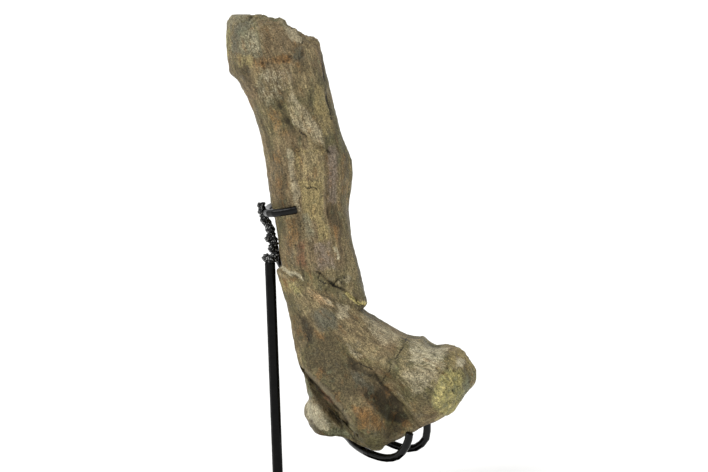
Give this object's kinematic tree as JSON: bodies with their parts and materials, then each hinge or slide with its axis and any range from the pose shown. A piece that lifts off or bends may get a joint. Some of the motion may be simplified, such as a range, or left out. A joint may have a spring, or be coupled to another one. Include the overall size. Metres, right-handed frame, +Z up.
{
  "type": "fossil femur on a display stand",
  "caption": "Lower part of a duck-billed dinosaur's thigh bone, mended across the shaft, held upright by a welded black steel stand.",
  "frame": {"origin": "centre of the base plate's underside", "axes": "+Z up along the bone, +X from the bone's front edge to its rear edge, -Y towards the viewer of the picture"},
  "size_m": [0.2869, 0.1605, 0.582],
  "materials": {
    "fossil_bone": "mineralised bone, olive brown to grey, fibrous, faint sheen",
    "stand_paint": "satin black paint on steel bar",
    "weld_paint": "glossy black paint over weld beads"
  },
  "bodies": {
    "root": {"femur": "fossil_bone", "base_plate": "stand_paint", "upright_rod": "stand_paint", "hook_bar": "weld_paint", "upper_hook": "stand_paint", "cradle_bar": "stand_paint", "front_prong": "stand_paint", "rear_prong": "stand_paint"}
  },
  "joints": []
}
